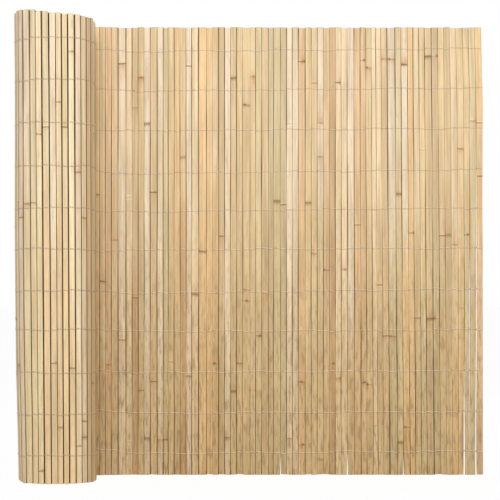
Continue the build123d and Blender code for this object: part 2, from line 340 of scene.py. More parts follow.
def view_column(x, y):
    """The photograph's column of a point: the focal length times x over its distance."""
    return VIEW_SIZE / 2 + VIEW_FOCAL * (x - VIEW_ACROSS) / (y - CROWN_Y + VIEW_DISTANCE)


class Slat:
    """One slat, by its skin corners at any height, the way it stands, its ends, joints and tone."""

    def __init__(self, start, end, foot, top, seed, tone, foot_tone=None, joints=()):
        rng = np.random.default_rng(seed)
        self.start, self.end = start, end
        self.foot, self.top = foot, top
        self.joints = joints
        self.insets = (1.0, 1.0)
        self.grooves = (None, None)
        self.seed = seed
        self.tone, self.foot_tone = tone, foot_tone or tone
        self.changes = rng.uniform(250, 650)
        self.foot_cast = "foot_cast"
        self.order = 0
        self.slit = (0, 0, 0)
        self.lift = rng.uniform(-0.45, 0.45)
        self.tilt = rng.normal(0, 0.035)
        self.light = rng.normal(1, 0.04)
        self.ends = rng.uniform(0.4, 1.6, 2)
        self.slants = rng.uniform(-0.05, 0.05, 2)
        count = max(1, len(joints))
        self.skews = rng.uniform(-0.09, 0.09, count)
        self.stains = rng.uniform(0.0, 0.6, count) * rng.choice((-1, 1), count)
        self.lines = rng.uniform(0.15, 1.0, count)
        self.knots = rng.uniform(-1.0, 0.8, count).clip(0)
        self.knot_places = rng.uniform(-0.45, 0.45, count)
        self.broads = rng.uniform(-0.6, 0.5, count).clip(0)
        self.shift = rng.uniform(0, 900, 2)

    def stations(self, coarse):
        """Heights of the rings: even steps, and close ones about each joint and at the ends."""
        foot, top = self.foot, self.top
        rings = [np.linspace(foot, top, 6 if coarse else 9)]
        rings += [height + JOINT_STEPS for height in self.joints]
        if not coarse:
            rings += [self.row_height(row) + WIRE_STEPS for row in range(len(STRAY_ON_ROLL))]
            rings.append(np.linspace(self.slit[0] - 3, self.slit[1] + 3, 9))
        rings.append(foot + 0.35 + END_STEPS * self.ends[0])
        rings.append(top - 0.35 - END_STEPS * self.ends[1])
        z = np.unique(np.concatenate(rings).clip(foot, top).round(3))
        return z[np.concatenate([[True], np.diff(z) > 0.08])]

    def row_height(self, row):
        """Height of a wire row on this slat: the even pitch, its stray on the roll, at the left end
        of the panel and at its right end, with straight lines between, and its wander."""
        half_way = np.array((SLAT_LENGTH / 2,))
        x = (self.start(half_way)[0, 0] + self.end(half_way)[0, 0]) / 2
        stray = (STRAY_ON_ROLL[row], STRAY_ON_ROLL[row], STRAY_AT_LEFT[row], STRAY_AT_RIGHT[row])
        even = FIRST_ROW + ROW_PITCH * row
        even += np.interp(x, (-520, PANEL_X - 75, PANEL_X, 517), stray)
        jolt = np.random.default_rng(8000 + 200 * row + self.order).normal(0, 0.65)
        return float(even + drift(50 + row, self.order * 50.0, 2.1) + jolt)

    def frame_at(self, z):
        """(middle, way along the mat, way to the pith, half the width) of the section at z."""
        a, b = self.start(z), self.end(z)
        span = b - a
        width = np.hypot(span[..., 0], span[..., 1])
        turn = np.arctan2(span[..., 1], span[..., 0]) + self.tilt
        along = np.stack([np.cos(turn), np.sin(turn)], -1)
        out = np.stack([along[..., 1], -along[..., 0]], -1)
        return (a + b) / 2 + out * self.lift, along, out, width / 2

    def place(self, across, depth, z):
        """Points of the row frame: the middle, plus across along the mat, plus depth to the pith."""
        middle, along, out, half = self.frame_at(z)
        sag = half**2 / (2 * CULM_RADIUS)
        middle, along, out = middle[:, None], along[:, None], out[:, None]
        return middle + across[..., None] * along + (depth - sag[:, None])[..., None] * out


def seam_lines():
    """x at the foot and at the top of each seam of the flat panel, midway between its CAD slats."""
    lows, highs = [], []
    for number in range(1, FLAT_SLATS + 1):
        points = node_points(f"slat_{number:02d}")
        low = points[points[:, 2] < points[:, 2].min() + 2, 0]
        high = points[points[:, 2] > points[:, 2].max() - 2, 0]
        lows += [low.min(), low.max()]
        highs += [high.min(), high.max()]
    middles = []
    for sides in (lows, highs):
        inner = (np.array(sides[1:-1:2]) + np.array(sides[2:-1:2])) / 2
        middles.append(np.concatenate([sides[:1], inner, sides[-1:]]))
    return middles


def flat_side(feet, tops, seam, hand):
    """One side of a seam: its line, its slow wander, the bow of the free edge and half its gape."""
    gape = SEAM_GAPES.get(seam, ((0, CLOSED), (1, CLOSED)))
    bow = BOW * smooth((seam - BOW_STARTS) / (BOW_FULL - BOW_STARTS))

    def at(z):
        x = feet[seam] + (tops[seam] - feet[seam]) * z / SLAT_LENGTH + drift(900 + seam, z, 0.4)
        x = x + bow * smooth(z / 500) * smooth((SLAT_LENGTH - z) / 170)
        x = x + hand * lines_through(gape, z) / 2
        return np.stack([x, np.full_like(x, CORNER_Y)], -1)

    return at


def groove_of(seam):
    """How deep a seam's groove is and how dark its dirt and painted shade are, from 0 to about 1.6.
    Seams on the lead-off are below zero, and the seams near the roll are deeper and darker."""
    common = np.random.default_rng(600 + seam).uniform(*GROOVE_RANGE)
    return SEAM_GROOVES.get(seam, common) * (1.2 if seam < NEAR_ROLL else 1.0)


def groove_line(strength, seed):
    """A groove's strength along the slats: its mean times one plus a slow wander."""
    return lambda z: (strength * (1 + drift(seed, z, GROOVE_DRIFT))).clip(0.04, 1.7)


def panel_slats():
    """The slats of the flat panel, each between its CAD node's own two sides."""
    feet, tops = seam_lines()
    slats = []
    for number in range(1, FLAT_SLATS + 1):
        points = node_points(f"slat_{number:02d}")
        foot, top = max(points[:, 2].min() - 1, 0), points[:, 2].max() + 1.2
        right = flat_side(feet, tops, number, -1)
        left = flat_side(feet, tops, number - 1, 1)
        tones = (TONE_OF[number], FOOT_TONES.get(number))
        slat = Slat(right, left, foot, top, number, *tones, PANEL_JOINTS.get(number, ()))
        slat.grooves = [groove_line(groove_of(n), 600 + n) for n in (number, number - 1)]
        slat.order = FLAT_SLATS - number
        if number in KNOTTED:
            slat.knots[:] = 1.0
        if number in BROAD:
            slat.broads[:] = 0.75
        slats.append(slat)
    return slats


def lead_slats():
    """The slats that lead off the panel to the middle of the roll's back."""
    table = np.linspace(-LEAD_LENGTH, 0, 400)
    places = np.interp(np.cumsum((0.0,) + LEAD_WIDTHS), mat_lengths(table), table)
    places = np.append(places, 0.0)
    slats = []
    rng = np.random.default_rng(71)
    for k, (a, b) in enumerate(zip(places, places[1:])):
        start, end = rolled_side(a), rolled_side(b)
        tone = LEAD_TONES[k % len(LEAD_TONES)]
        foot, top = rng.uniform(0, 0.5), SLAT_LENGTH - rng.uniform(0, 2)
        slat = Slat(start, end, foot, top, 70 + k, tone, None, LEAD_JOINTS.get(k, ()))
        slat.grooves = [groove_line(groove_of(-n), 600 - n) for n in (k, k + 1)]
        slat.order = FLAT_SLATS + k
        slats.append(slat)
    return slats


def rolled_side(u, gape=((0, 0.0), (1, 0.0)), hand=0):
    """A side of a slat on the bent run of the mat, moved along it by half the seam's gape."""
    return lambda z: rolled_point(u + hand * lines_through(gape, z) / 2, z)


def roll_places():
    """(places along the mat line, number of slats before the front's first seam)."""
    table = np.arange(0.0, 5400.0, 0.5)
    x, y = mat_line(table)
    length = mat_lengths(table)
    front = (table > ROLL_RADIUS * math.pi * 0.52) & (table < ROLL_RADIUS * math.pi * 1.48)
    turn = np.arctan2(np.gradient(y), np.gradient(x))
    seen = rolled_point(table, SEAMS_SEEN_AT)
    seen = seen + THICKNESS * np.stack([np.sin(turn), -np.cos(turn)], -1)
    column = view_column(*seen.T)
    seams = np.interp(FRONT_SEAMS, column[front], length[front])
    behind = round(seams[0] / COMMON_WIDTH)
    before = np.linspace(0, seams[0], behind + 1)[:-1]
    rng = np.random.default_rng(11)
    left = MAT_LENGTH - (node_points("slat_57")[:, 0].max() - PANEL_X) - LEAD_LENGTH
    after = seams[-1] + np.cumsum(rng.triangular(11, 13.4, 17, 400))
    after = after[after < left]
    return np.interp(np.concatenate([before, seams, after]), length, table), behind


def front_gape(seam):
    """How far a seam of the roll gapes, as (height, width) points."""
    seen = 0 <= seam < len(FRONT_GAPES)
    return FRONT_GAPES[seam] if seen else LEFT_GAPE if seam == -1 else HIDDEN_GAPE


def roll_slats():
    """The slats of the roll from the middle of its back to its core."""
    places, behind = roll_places()
    rng = np.random.default_rng(12)
    names = ("cream", "straw", "bleached", "khaki", "honey", "green")
    slats = []
    for k, (a, b) in enumerate(zip(places, places[1:])):
        x = mat_line((a + b) / 2)[0]
        top = lines_through(ROLL_TOPS, x) + rng.uniform(-1.4, 1.4)
        foot = lines_through(FOOT_LIFTS, x) + rng.uniform(0, 1.2)
        front = k - behind + 1
        tone = names[rng.integers(len(names))]
        insets = rng.uniform(0.5, 1.5, 2)
        joints, foot_tone = (), None
        if 0 <= front < len(FRONT_TONES):
            insets = (FRONT_INSET, FRONT_INSET)
            tone, foot_tone = FRONT_TONES[front], FRONT_FEET.get(front)
            joints = FRONT_JOINTS.get(front, ())
        elif k < 46:
            joints = (rng.uniform(60, 480), rng.uniform(520, 940))
        sides = rolled_side(a, front_gape(front - 1), 1), rolled_side(b, front_gape(front), -1)
        slat = Slat(*sides, foot, top, 200 + k, tone, foot_tone, joints)
        slat.tilt *= 0.7
        slat.grooves = [
            groove_line(LEFT_GROOVE if seam == -1 else ROLL_GROOVE, 900 + seam)
            for seam in (front - 1, front)
        ]
        if 0 <= front < len(FRONT_LIGHTS):
            slat.light = FRONT_LIGHT * FRONT_LIGHTS[front]
            slat.lines = slat.lines.clip(0.75)
        slat.insets = insets
        slat.foot_cast = "roll_foot_cast"
        slat.ends = slat.ends + 1.6
        slat.order = FLAT_SLATS + len(LEAD_WIDTHS) + 1 + k
        slat.slit = FRONT_SLITS.get(front, slat.slit)
        if front in KNOTTED_FRONT:
            slat.knots[:] = 0.7
        slats.append(slat)
    return slats


def marked(heights, slat, joint):
    """Whether a table of heights by slat names this joint."""
    return abs(heights.get(slat.seed, math.inf) - slat.joints[joint]) < 2


def slat_features(slat, colours, z, across, from_joints, coarse):
    """(dark lines with painted shadows, stains, pale patches, painted crest highlights) of a slat, each
    about 0 to 1 at every point.

    A joint has a dark line, in some slats a knot or a broad shadow, a stain that falls off on its
    two sides as two unlike exponentials, and two bright crests, painted highlights on its ridges. Below
    each wire lies a dark line, a painted shadow."""
    dark = np.zeros(across.shape)
    stain, pale, crest_highlight = dark.copy(), dark.copy(), dark.copy()
    for k, t in enumerate(from_joints):
        strength = slat.stains[k]
        if marked(STAINED_JOINTS, slat, k):
            strength = math.copysign(1.0, strength)
        if marked(PALE_JOINTS, slat, k):
            pale = np.maximum(pale, 0.9 * hump(z - slat.joints[k], 6)[:, None])
        knot = hump(t - 1, 3.0) * hump(across - slat.knot_places[k] * COMMON_WIDTH, 3.2)
        dark = np.maximum(dark, slat.lines[k] * hump(t - 0.5, 1.5))
        dark = np.maximum(dark, 1.15 * slat.knots[k] * knot)
        dark = np.maximum(dark, slat.broads[k] * hump(t + 0.5, 4.2))
        # Painted highlight: two bright crests on the joint's ridges.
        crest_highlight = np.maximum(crest_highlight, hump(t + 2.2, 1.1) + hump(t - 3.2, 1.4))
        reach = np.where(np.sign(strength) * t > 0, 16, 3.5)
        stain = np.maximum(stain, abs(strength) * np.exp(-np.abs(t) / reach))
    foot, top, place = slat.slit
    slit = smooth((z - foot) / 4) * smooth((top - z) / 4) * (top > 0)
    dark = np.maximum(dark, slit[:, None] * hump(across - place, 1.0))
    if not coarse:
        for row in range(len(STRAY_ON_ROLL)):
            # Painted shadow: a dark line just below each wire row, where the wire's shadow falls.
            under = hump(z - slat.row_height(row) + 1.0, 0.9)
            dark = np.maximum(dark, colours.wire_painted_shadow * under[:, None])
    foot, top = PALE_PATCHES.get(slat.seed, (0, 0))
    patch = smooth((z - foot) / 90) * smooth((top - z) / 90) * (top > 0)
    patch = (patch * (0.6 + drift(slat.seed, z * 4, 0.5))).clip(0, 1)
    pale = np.maximum(pale, patch[:, None] * hump(across - 2, 5.5))
    return dark, stain, pale, crest_highlight


def slat_tones(slat, colours, z, skin, columns, coarse):
    """The slat's colour at every point: its foot's tone passes to its own tone about a height of
    its own, times a cast that changes from foot to top, partly painted light that leaves the foot darker
    and the top paler and partly the slats' own tone, its light and a slow drift. The pith columns are
    part the pith's colour, and the coarse turns are darkened there with painted shade."""
    turn = smooth((z - slat.changes) / 160 + 0.5 + drift(slat.seed + 3500, z, 0.3))[:, None]
    share = smooth((z - 20) / 890 + drift(slat.seed + 3000, z, 0.14))[:, None]
    base = blend(getattr(colours, slat.foot_tone), getattr(colours, slat.tone), turn)
    # Partly painted light: the cast darkens and warms the foot and pales the top as light from above
    # would, and partly the slats' own change of tone.
    cast = blend(getattr(colours, slat.foot_cast), colours.top_cast_and_light, share)
    line = base * cast * slat.light * (1 + drift(slat.seed + 4000, z, 0.06)[:, None])
    tone = np.repeat(line[:, None], columns, 1)
    on_skin, on_pith = tone[:, : len(skin)], tone[:, len(skin) :]
    # Painted highlight: the skin is 5 % lighter in a band just inside its rounded edges.
    on_skin *= 1 + 0.05 * hump(np.abs(skin) - 0.8, 0.07)[:, None]
    on_pith[:] = blend(on_pith, np.array(colours.pith) * slat.light, colours.pith_share)
    # Painted shade: the pith faces of the coarse inner turns, seen through the roll's gaps, are darkened
    # as if in shade.
    if coarse:
        on_pith *= np.array(colours.inner_painted_shade)
    return tone


def slat_dirt_and_shade(slat, z, across, skin, pith, groove):
    """Dirt and painted shade from 0 to 1: a band along the skin's edges that the groove widens and
    darkens, partly dirt and partly painted shade of the seam; a thin one along the pith's, painted shade
    in the gaps between slats; and for some slats a grimy edge at the foot."""
    # The skin band is partly dirt and partly painted shade of the seam; the pith band is painted shade
    # in the gaps.
    on_skin = smooth((np.abs(skin) - 0.96 + 0.075 * groove) / 0.035 + 1)
    on_skin = on_skin * (0.1 + groove).clip(0, 1)
    on_pith = np.repeat(smooth((np.abs(pith) - 0.93) / 0.05)[None], len(z), 0)
    top = GRIMY_EDGES.get(slat.seed, 0)
    grimy = (0.6 + drift(slat.seed + 70, z * 5, 0.7)) * smooth((top - z) / 40) * (top > 0)
    grimy = grimy[:, None] * hump(across + COMMON_WIDTH / 2, 4.6)
    return np.maximum(np.concatenate([on_skin, on_pith], 1), grimy)


def slat_block(slat, sizes, colours, coarse=False):
    """A closed slat as a grid of rings, with its fibre map, tones and marks.

    The skin sags from its crown as the square of the place across and drops at its edges as a
    superellipse. The pith side is flat with rounder edges. A joint adds to the skin a low swell,
    a ridge, a groove and a second ridge, each a bell along the slat, and to the pith side one
    flat-topped bell. At its ends the slat narrows along a quarter circle and is sawn askew."""
    skin, pith = (COARSE_SKIN, COARSE_PITH) if coarse else (SKIN_ACROSS, PITH_ACROSS)
    z = slat.stations(coarse)
    half = slat.frame_at(z)[3]
    sag = half**2 / (2 * CULM_RADIUS)
    from_end = np.minimum((z - slat.foot) / slat.ends[0], (slat.top - z) / slat.ends[1])
    rounding = np.where(z < SLAT_LENGTH / 2, *slat.ends)
    tuck = rounding * (1 - np.sqrt(1 - np.clip(1 - from_end, 0, 1) ** 2))
    sawn = from_end < SAWN
    half = (half - tuck - END_BEVEL * sawn)[:, None]

    groove = np.where(skin < 0, *(line(z)[:, None] for line in slat.grooves))
    inset = CURL_INSET * np.where(pith < 0, *slat.insets) * np.abs(pith)
    across = np.concatenate([half * skin, half * pith - inset * np.sign(pith)], 1)
    drop = sizes.edge_rounding / MM * (0.55 + 0.9 * groove)
    depth_skin = sag[:, None] * skin**2 + drop * edge_drop(skin, 14 - 5 * groove)
    depth_pith = THICKNESS - sizes.pith_rounding / MM * edge_drop(pith, 9)
    from_joints = [z[:, None] - at - skew * across for at, skew in zip(slat.joints, slat.skews)]
    bar = np.zeros((len(z), len(pith)))
    for t in from_joints:
        for place, width, height in JOINT_BELLS:
            depth_skin = depth_skin - height * hump(t[:, : len(skin)] - place, width)
        bar = np.maximum(bar, np.exp(-((t[:, len(skin) :] / STUMP_WIDTH) ** 4)))
    depth_pith = depth_pith + STUMP_HEIGHT * bar * (1 - np.abs(pith) ** 8)
    middle = THICKNESS / 2
    squeeze = (1 - END_BEVEL * sawn / middle)[:, None]
    depth = middle + (np.concatenate([depth_skin, depth_pith], 1) - middle) * squeeze

    slant = np.where(z < SLAT_LENGTH / 2, *slat.slants)[:, None] * across
    height = z[:, None] + slant * np.exp(-np.minimum(z - slat.foot, slat.top - z) / 12)[:, None]
    height = np.maximum(height, 0.02)
    points = np.concatenate([slat.place(across, depth, z), height[..., None]], -1)

    dark, stain, pale, crest_highlight = slat_features(slat, colours, z, across, from_joints, coarse)
    tone = slat_tones(slat, colours, z, skin, across.shape[1], coarse)
    # The crests are painted highlights; the pale patches are the slats' own colour.
    tone = blend(tone, colours.chalk, 0.75 * pale[..., None]) * (1 + 0.16 * crest_highlight[..., None])
    tone = np.concatenate([tone.clip(0, 1), np.ones(across.shape + (1,))], -1)
    dirt_and_shade = slat_dirt_and_shade(slat, z, across, skin, pith, groove)
    sawn = np.broadcast_to(sawn[:, None], across.shape)

    section = np.stack([across, depth], -1)
    middle_ring = section[len(z) // 2]
    edges = np.linalg.norm(np.roll(middle_ring, -1, axis=0) - middle_ring, axis=1)
    return {
        "points": points,
        "tone": tone,
        "marks": np.stack([dirt_and_shade, dark, stain, sawn], -1).astype(float),
        "around": np.concatenate([[0], np.cumsum(edges)]) + slat.shift[0],
        "along": z + slat.shift[1],
        "flat": section + CAP_SHIFT,
    }


def tube_block(line, radius):
    """A closed wire: a ring of points about each point of the line, square to the way it runs."""
    way = np.gradient(line, axis=0)
    way /= np.linalg.norm(way, axis=1)[:, None]
    side = np.cross(way, (0, 0, 1))
    side /= np.linalg.norm(side, axis=1)[:, None]
    up = np.cross(side, way)
    turn = np.arange(WIRE_FACES) * TAU / WIRE_FACES
    ring = np.cos(turn)[:, None] * side[:, None] + np.sin(turn)[:, None] * up[:, None]
    points = line[:, None] + radius * ring
    length = np.concatenate([[0], np.cumsum(np.linalg.norm(np.diff(line, axis=0), axis=1))])
    return {
        "points": points,
        "around": np.arange(WIRE_FACES + 1) * radius,
        "along": length,
        "flat": points[..., :2],
    }


def mesh_piece(name, blocks, finish, slot, *nodes):
    """One piece from closed grids: four-sided faces between rings, one flat face on each end."""
    points, corners, counts, maps, start = [], [], [], [], 0
    caps, cap_maps = [], []
    for block in blocks:
        rings, around = block["points"].shape[:2]
        ring = np.arange(rings * around).reshape(rings, around) + start
        beside = np.roll(ring, -1, axis=1)
        faces = np.stack([ring[:-1], ring[1:], beside[1:], beside[:-1]], -1)
        u = np.broadcast_to(block["around"], (rings, around + 1))
        v = np.broadcast_to(block["along"][:, None], (rings, around + 1))
        uv = np.stack([u, v], -1)
        places = np.stack([uv[:-1, :-1], uv[1:, :-1], uv[1:, 1:], uv[:-1, 1:]], 2)
        corners.append(faces.ravel())
        maps.append(places.reshape(-1, 2))
        counts.append(np.full((rings - 1) * around, 4))
        caps += [ring[0], ring[-1][::-1]]
        cap_maps += [block["flat"][0], block["flat"][-1][::-1]]
        points.append(block["points"].reshape(-1, 3))
        start += rings * around
    smooth_faces = sum(len(count) for count in counts)
    counts.append(np.array([len(cap) for cap in caps]))
    counts = np.concatenate(counts)
    corners = np.concatenate(corners + caps)
    maps = np.concatenate(maps + cap_maps)

    mesh = bpy.data.meshes.new(name)
    mesh.vertices.add(start)
    mesh.vertices.foreach_set("co", (np.concatenate(points) * MM).ravel())
    mesh.loops.add(len(corners))
    mesh.loops.foreach_set("vertex_index", corners.astype(np.int32))
    mesh.polygons.add(len(counts))
    starts = np.concatenate([[0], np.cumsum(counts)[:-1]])
    mesh.polygons.foreach_set("loop_start", starts.astype(np.int32))
    mesh.polygons.foreach_set("use_smooth", np.arange(len(counts)) < smooth_faces)
    mesh.update(calc_edges=True)
    mesh.uv_layers.new(name="slat_fibre").uv.foreach_set("vector", maps.astype(np.float32).ravel())
    for layer in [key for key in ("tone", "marks") if key in blocks[0]]:
        values = np.concatenate([block[layer].reshape(-1, 4) for block in blocks])
        colours = mesh.attributes.new(layer, "FLOAT_COLOR", "POINT")
        colours.data.foreach_set("color", values.ravel())
    mesh.materials.append(finish)

    piece = bpy.data.objects.new(name, mesh)
    bpy.context.scene.collection.objects.link(piece)
    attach(piece, "root")
    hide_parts(*nodes)
    return piece


class Number:
    """A number socket of a finish. A sum on it adds the Math node for that sum."""

    def __init__(self, finish, socket):
        self.finish, self.socket = finish, socket

    def work(self, operation, first, second):
        node = self.finish.node("ShaderNodeMath", {"operation": operation}, {0: first, 1: second})
        return Number(self.finish, node.outputs[0])

    def __add__(self, other):
        return self.work("ADD", self, other)

    def __rsub__(self, other):
        return self.work("SUBTRACT", other, self)

    def __mul__(self, other):
        return self.work("MULTIPLY", self, other)

    __radd__, __rmul__ = __add__, __mul__


class Finish:
    """The nodes of a material, or of the world, under way."""

    def __init__(self, owner):
        self.owner = owner
        owner.use_nodes = True
        self.tree = owner.node_tree
        self.tree.nodes.clear()

    def node(self, kind, settings=(), inputs=()):
        """Adds one node: first its settings, then the values or links of its sockets."""
        node = self.tree.nodes.new(kind)
        for key, value in dict(settings).items():
            setattr(node, key, value)
        for key, value in dict(inputs).items():
            value = value.socket if isinstance(value, Number) else value
            if isinstance(value, bpy.types.NodeSocket):
                self.tree.links.new(value, node.inputs[key])
            else:
                node.inputs[key].default_value = value
        return node

    def number(self, socket):
        """A socket as a number that sums can be done with."""
        return Number(self, socket)

    def mix(self, share, first, second, blend="MIX"):
        """Two colours mixed."""
        settings = {"data_type": "RGBA", "blend_type": blend, "clamp_result": False}
        inputs = {0: share, 6: solid(first), 7: solid(second)}
        return self.node("ShaderNodeMix", settings, inputs).outputs[2]

    def spread(self, value, low, high):
        """0 below low, 1 above high, and smooth between."""
        settings = {"interpolation_type": "SMOOTHSTEP", "clamp": True}
        inputs = {"Value": value, "From Min": low, "From Max": high}
        return self.number(self.node("ShaderNodeMapRange", settings, inputs).outputs[0])

    def axis(self, place, number):
        """One coordinate of a place."""
        return self.number(self.node("ShaderNodeSeparateXYZ", inputs={0: place}).outputs[number])

    def place(self, x, y, z):
        """A place from three numbers."""
        return self.node("ShaderNodeCombineXYZ", inputs={0: x, 1: y, 2: z}).outputs[0]

    def noise(self, place, scale=1.0, detail=3.0, roughness=0.55):
        """Fractal noise at a place."""
        inputs = {"Vector": place, "Scale": scale, "Detail": detail, "Roughness": roughness}
        return self.number(self.node("ShaderNodeTexNoise", inputs=inputs).outputs[0])

    def coat(self, height, strength, distance, inputs):
        """Joins the surface, with a bump, to the output."""
        bump = {"Strength": strength, "Distance": distance, "Height": height}
        normal = self.node("ShaderNodeBump", inputs=bump).outputs[0]
        return self.close(self.node("ShaderNodeBsdfPrincipled", inputs={**inputs, "Normal": normal}))

    def two(self, share, first, second):
        """Two shaders mixed."""
        inputs = {0: share, 1: first.outputs[0], 2: second.outputs[0]}
        return self.node("ShaderNodeMixShader", inputs=inputs)

    def close(self, shader, kind="Material"):
        """Joins the last shader to the output."""
        self.node(f"ShaderNodeOutput{kind}", inputs={"Surface": shader.outputs[0]})
        return self.owner


def solid(colour):
    """A linear colour with full alpha, for a colour socket. Another node's socket stays itself."""
    return colour if isinstance(colour, bpy.types.NodeSocket) else (*colour, 1.0)


def bamboo(name, colours, roughness, seam, damp_share=0.75):
    """Dry split bamboo: the slat's own tone, broad bands, streaks and fine fibre along it, grey
    weathering, specks, edges darkened by dirt and painted shade, joint lines that also carry the painted
    shadow under the wires, stains, and fibre ends where it is sawn."""
    finish = Finish(bpy.data.materials.new(name))
    fibre_map = finish.node("ShaderNodeUVMap", {"uv_map": "slat_fibre"}).outputs[0]
    around, along = finish.axis(fibre_map, 0), finish.axis(fibre_map, 1)
    colour = finish.node("ShaderNodeAttribute", {"attribute_name": "tone"}).outputs["Color"]
    marks = finish.node("ShaderNodeAttribute", {"attribute_name": "marks"})
    channels = finish.node("ShaderNodeSeparateColor", inputs={0: marks.outputs["Color"]})
    dirt_and_shade, joint, stain = (finish.number(channels.outputs[k]) for k in range(3))
    sawn = finish.number(marks.outputs["Alpha"])

    def grain(across, length, layer, detail):
        """Noise drawn out along the slat."""
        return finish.noise(finish.place(around * across, along * length, layer), detail=detail)

    band = grain(0.17, 0.005, 3.0, 2)
    tinge = grain(0.12, 0.009, 29.0, 3)
    streak = grain(1.2, 0.011, 7.0, 4)
    fibre = grain(5.0, 0.06, 11.0, 3)
    blotch = grain(0.1, 0.022, 17.0, 4)
    speck = grain(1.4, 0.5, 23.0, 2)

    shades = (
        (band, 0.36, 0.64, (0.89, 0.87, 0.83), (1.06, 1.07, 1.09)),
        (tinge, 0.35, 0.65, (0.975, 1.0, 1.0), (1.025, 0.99, 0.965)),
        (streak, 0.3, 0.7, (0.9, 0.86, 0.8), (1.06, 1.06, 1.07)),
        (fibre, 0.25, 0.75, (0.92, 0.9, 0.86), (1.05, 1.05, 1.05)),
    )
    for noise, low, high, dull, bright in shades:
        shade = finish.mix(finish.spread(noise, low, high), dull, bright)
        colour = finish.mix(1.0, colour, shade, "MULTIPLY")
    grey = finish.spread(blotch, 0.52, 0.75) * 0.45
    colour = finish.mix(grey, colour, colours.weathered_grey)
    colour = finish.mix(finish.spread(speck, 0.7, 0.78) * 0.55, colour, colours.joint_and_shadow_brown)
    place = finish.node("ShaderNodeTexCoord").outputs["Object"]
    low = 1 - finish.spread(finish.axis(place, 2), 0.1, 0.75)
    damp = grain(0.2, 0.03, 41.0, 4)
    damp = finish.spread(damp, 0.46, 0.68) * low * damp_share
    colour = finish.mix(damp, colour, colours.damp_brown)
    stains = stain * finish.spread(streak + blotch, 0.75, 1.15) * 0.9
    colour = finish.mix(stains, colour, colours.joint_orange)
    # The joint mask also carries the painted shadow line under each wire and the broad joint shadows.
    colour = finish.mix(joint * 0.85, colour, colours.joint_and_shadow_brown)
    # Partly dirt along the seams, and partly painted shade of the seams and of the roll's gaps.
    grime_and_shade = dirt_and_shade * (0.65 + 0.35 * finish.spread(streak, 0.35, 0.65))
    colour = finish.mix(grime_and_shade * 0.95, colour, seam)
    cells = {"Vector": fibre_map, "Scale": 1.7}
    bundles = finish.node("ShaderNodeTexVoronoi", {"feature": "F1"}, cells).outputs["Distance"]
    between = finish.spread(bundles, 0.15, 0.36)
    ends = finish.mix(between, colours.fibre_end, colours.cut_end)

    surface = {
        "Base Color": finish.mix(sawn, colour, ends),
        "Roughness": roughness + 0.16 * finish.spread(streak, 0.3, 0.7) + 0.35 * dirt_and_shade + 0.25 * sawn,
        "Specular IOR Level": 0.3,
    }
    return finish.coat(fibre * 0.5 + streak * 0.5, 0.45, 0.0004, surface)


def dull_wire(name, colours):
    """Galvanised wire gone dull: two greys in patches, a few rusty spots, browner on the roll."""
    finish = Finish(bpy.data.materials.new(name))
    place = finish.node("ShaderNodeTexCoord").outputs["Object"]
    patch = finish.noise(place, 260.0, 3.0)
    rust = finish.spread(finish.noise(place, 90.0, 4.0), 0.6, 0.74)
    colour = finish.mix(patch, colours.wire_dark, colours.wire_bright)
    colour = finish.mix(rust * 0.6, colour, colours.wire_rust)
    on_roll = 1 - finish.spread(finish.axis(place, 0), *ROLL_ENDS)
    surface = {
        "Base Color": finish.mix(on_roll * 0.28, colour, colours.wire_rust),
        "Metallic": 0.4 - 0.3 * rust,
        "Roughness": 0.38 + 0.4 * rust,
    }
    return finish.coat(patch, 0.3, 0.0001, surface)


def wire_lines(row, slats, sizes):
    """The two strands of a row, which change sides at every seam.

    Across each slat a strand lies on one face, and it comes to the middle of the mat's thickness
    as the twelfth power of the place across. Its height falls or rises evenly over the face, so
    the two strands wind round each other."""
    radius = sizes.wire_diameter / MM / 2
    middle = THICKNESS / 2
    lines = []
    for strand in (0, 1):
        pieces = []
        for k, slat in enumerate(slats):
            z = np.full(len(WIRE_ACROSS), slat.row_height(row))
            half = slat.frame_at(z)[3]
            front = 1 if (k + strand) % 2 else -1
            near = half**2 / (2 * CULM_RADIUS) * WIRE_ACROSS**2 - radius * WIRE_REACH
            face = near if front > 0 else THICKNESS + radius * WIRE_REACH
            depth = middle + (face - middle) * (1 - np.abs(WIRE_ACROSS) ** WIRE_TURN)
            flat = slat.place((half * WIRE_ACROSS)[:, None], depth[:, None], z)[:, 0]
            height = z + WIRE_RISE * WIRE_ACROSS * front
            pieces.append(np.concatenate([flat, height[:, None]], 1))
        lines.append(np.concatenate(pieces))
    return lines


def wire_end(line, edge, sizes):
    """The end of a strand turned half round the side of the last slat."""
    x, y, z = edge + sizes.wire_diameter / MM / 2, line[1, 1], line[1, 2]
    middle = CROWN_Y + THICKNESS / 2
    turn = np.array(((x, middle, z), (x, (2 * middle + y) / 3, z), (x - 0.4, y, z)))
    return np.concatenate([turn, line[2:]])


def length_property(name, description, metres):
    """A length that a user can change."""
    return bpy.props.FloatProperty(name=name, description=description, default=metres, unit="LENGTH")


def share_property(name, description, share):
    """A share that a user can change."""
    return bpy.props.FloatProperty(name=name, description=description, default=share, subtype="FACTOR")


def colour_property(name, description, colour):
    """A colour that a user can change."""
    return bpy.props.FloatVectorProperty(
        name=name, description=description, default=colour, size=3, subtype="COLOR", min=0.0
    )


class ScreenSizes(bpy.types.PropertyGroup):
    """Sizes of the dressed pieces that a user would change."""

    wire_diameter: length_property("Wire diameter", "Across one strand", 0.0012)
    edge_rounding: length_property("Skin edge", "Drop of the skin at a slat's edges", 0.0007)
    pith_rounding: length_property("Pith edge", "Drop of the pith face at its edges", 0.0008)
    floor_size: length_property("Floor", "Length of the floor's sides", 120.0)


